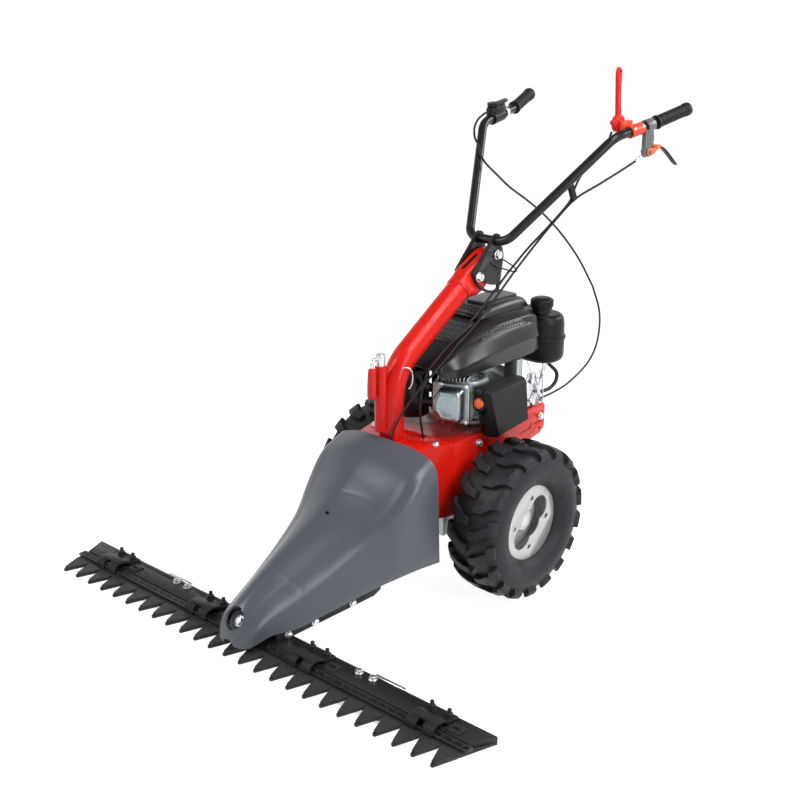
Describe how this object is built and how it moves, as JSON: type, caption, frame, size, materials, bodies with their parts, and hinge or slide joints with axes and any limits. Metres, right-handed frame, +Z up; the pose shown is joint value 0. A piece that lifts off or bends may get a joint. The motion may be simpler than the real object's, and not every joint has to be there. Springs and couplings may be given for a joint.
{
  "type": "sickle bar mower",
  "caption": "Walk-behind sickle bar mower with a reciprocating cutter bar, nose cowl, two lugged drive wheels, engine, swivelling column and tilting handlebar.",
  "frame": {"origin": "on the ground, midway between the tooth tips and the ends of the hand grips, in the middle of the machine's width", "axes": "+X to the machine's left, +Y to the rear, +Z up"},
  "size_m": [1.136, 1.202, 1.0809],
  "materials": {
    "red_paint": "gloss",
    "tyre_rubber": "matt",
    "zinc": "satin",
    "dark_steel": "satin",
    "cast_alloy": "matt",
    "black_plastic": "satin",
    "grey_plastic": "satin",
    "black_paint": "satin",
    "bronze": "satin",
    "orange_plastic": "gloss",
    "red_plastic": "gloss",
    "black_rubber": "matt"
  },
  "bodies": {
    "frame": {"gearbox_case": "cast_alloy", "gearbox_cover": "cast_alloy", "axle_bushes": "bronze", "chassis_deck": "red_paint", "left_side_plate": "red_paint", "right_side_plate": "red_paint", "column_socket": "red_paint", "zinc_bolts": "zinc", "drive_tube": "black_paint", "bar_drive_case": "black_paint", "bar_carrier": "dark_steel", "cowl": "grey_plastic", "bar_beam": "dark_steel", "finger_comb": "dark_steel", "hold_down_clips": "dark_steel", "clip_bolts": "dark_steel", "skid_shoes": "zinc", "engine_block": "cast_alloy", "valve_cover": "cast_alloy", "engine_shroud": "black_plastic", "starter_cover": "black_plastic", "fuel_tank": "black_plastic", "air_cleaner_base": "black_plastic", "air_cleaner_cover": "black_plastic", "carburettor": "cast_alloy", "control_bracket": "zinc", "fuel_hose": "black_rubber", "muffler": "black_paint", "control_cables": "black_rubber", "throttle_cable": "black_rubber"},
    "wheels": {"axle_shaft": "zinc", "axle_gear": "dark_steel", "wheel_hubs": "zinc", "left_rim": "zinc", "right_rim": "zinc", "left_tyre": "tyre_rubber", "right_tyre": "tyre_rubber"},
    "pinion": {"drive_pinion": "dark_steel"},
    "knife": {"knife_back": "dark_steel", "knife_sections": "dark_steel"},
    "swing_lever": {"swing_lever": "dark_steel"},
    "bar_shaft": {"drive_shaft": "zinc"},
    "crank": {"crankshaft": "dark_steel", "flywheel": "dark_steel"},
    "column": {"column_tube": "red_paint", "column_head": "red_paint", "head_bolts": "zinc"},
    "clamp": {"clamp_screw": "zinc", "clamp_grip": "red_plastic"},
    "handlebar": {"bracket_plates": "black_paint", "handlebar_tube": "black_paint", "handlebar_grips": "black_rubber", "clutch_bracket": "cast_alloy", "drive_lever_mount": "red_plastic", "throttle_body": "black_plastic"},
    "clutch_lever": {"clutch_lever": "orange_plastic"},
    "drive_lever": {"drive_lever": "red_plastic"},
    "throttle_lever": {"throttle_lever": "black_plastic"},
    "primer": {"primer_bulb": "orange_plastic"},
    "cap": {"fuel_cap": "black_plastic"}
  },
  "joints": [
    {"name": "wheel_roll", "type": "hinge", "parent": "frame", "child": "wheels", "pos_m": [0, 0.054, 0.1695], "axis": [1, 0, 0], "continuous": true},
    {"name": "pinion_turn", "type": "hinge", "parent": "frame", "child": "pinion", "pos_m": [0, 0.09899, 0.22312], "axis": [1, 0, 0], "continuous": true},
    {"name": "knife_stroke", "type": "slide", "parent": "frame", "child": "knife", "axis": [1, 0, 0], "range_m": [-0.022, 0.022]},
    {"name": "lever_swing", "type": "hinge", "parent": "frame", "child": "swing_lever", "pos_m": [0, -0.43, 0.09], "axis": [0, 0, 1], "range_deg": [-13, 13]},
    {"name": "bar_shaft_turn", "type": "hinge", "parent": "frame", "child": "bar_shaft", "pos_m": [0, -0.2, 0.1355], "axis": [0, 1, 0], "continuous": true},
    {"name": "crank_turn", "type": "hinge", "parent": "frame", "child": "crank", "pos_m": [0, 0.14, 0.45], "axis": [0, 0, 1], "continuous": true},
    {"name": "column_swivel", "type": "hinge", "parent": "frame", "child": "column", "pos_m": [0, -0.13, 0.38], "axis": [0, 0, 1], "range_deg": [-15, 15], "deforming": ["control_cables", "throttle_cable"]},
    {"name": "clamp_turn", "type": "hinge", "parent": "column", "child": "clamp", "pos_m": [0, -0.1625, 0.45], "axis": [0, 0, 1], "range_deg": [-80, 80]},
    {"name": "handlebar_tilt", "type": "hinge", "parent": "column", "child": "handlebar", "pos_m": [0, 0.17437, 0.69496], "axis": [1, 0, 0], "range_deg": [-30, 0], "deforming": ["control_cables", "throttle_cable"]},
    {"name": "clutch_pull", "type": "hinge", "parent": "handlebar", "child": "clutch_lever", "pos_m": [0.196, 0.47, 0.89992], "axis": [1, 0, 0], "range_deg": [0, 22], "stiffness_Nm_per_rad": 1.5, "springref_deg": -17.19},
    {"name": "drive_lever_throw", "type": "hinge", "parent": "handlebar", "child": "drive_lever", "pos_m": [0.16, 0.412, 0.96292], "axis": [1, 0, 0], "range_deg": [0, 40]},
    {"name": "throttle_set", "type": "hinge", "parent": "handlebar", "child": "throttle_lever", "pos_m": [-0.18351, 0.41035, 0.97122], "axis": [0.0171, -0.149, 0.9887], "range_deg": [-40, 0]},
    {"name": "primer_press", "type": "slide", "parent": "frame", "child": "primer", "axis": [0, 0.9503, -0.3113], "range_m": [0, 0.005], "stiffness_N_per_m": 600},
    {"name": "cap_turn", "type": "hinge", "parent": "frame", "child": "cap", "pos_m": [0.06, 0.298, 0.5615], "axis": [0, 0, 1], "range_deg": [0, 90]}
  ],
  "couplings": [
    {"joint": "pinion_turn", "follows": "wheel_roll", "ratio": -2.5},
    {"joint": "lever_swing", "follows": "knife_stroke", "rad_per_m": 9.1743}
  ]
}
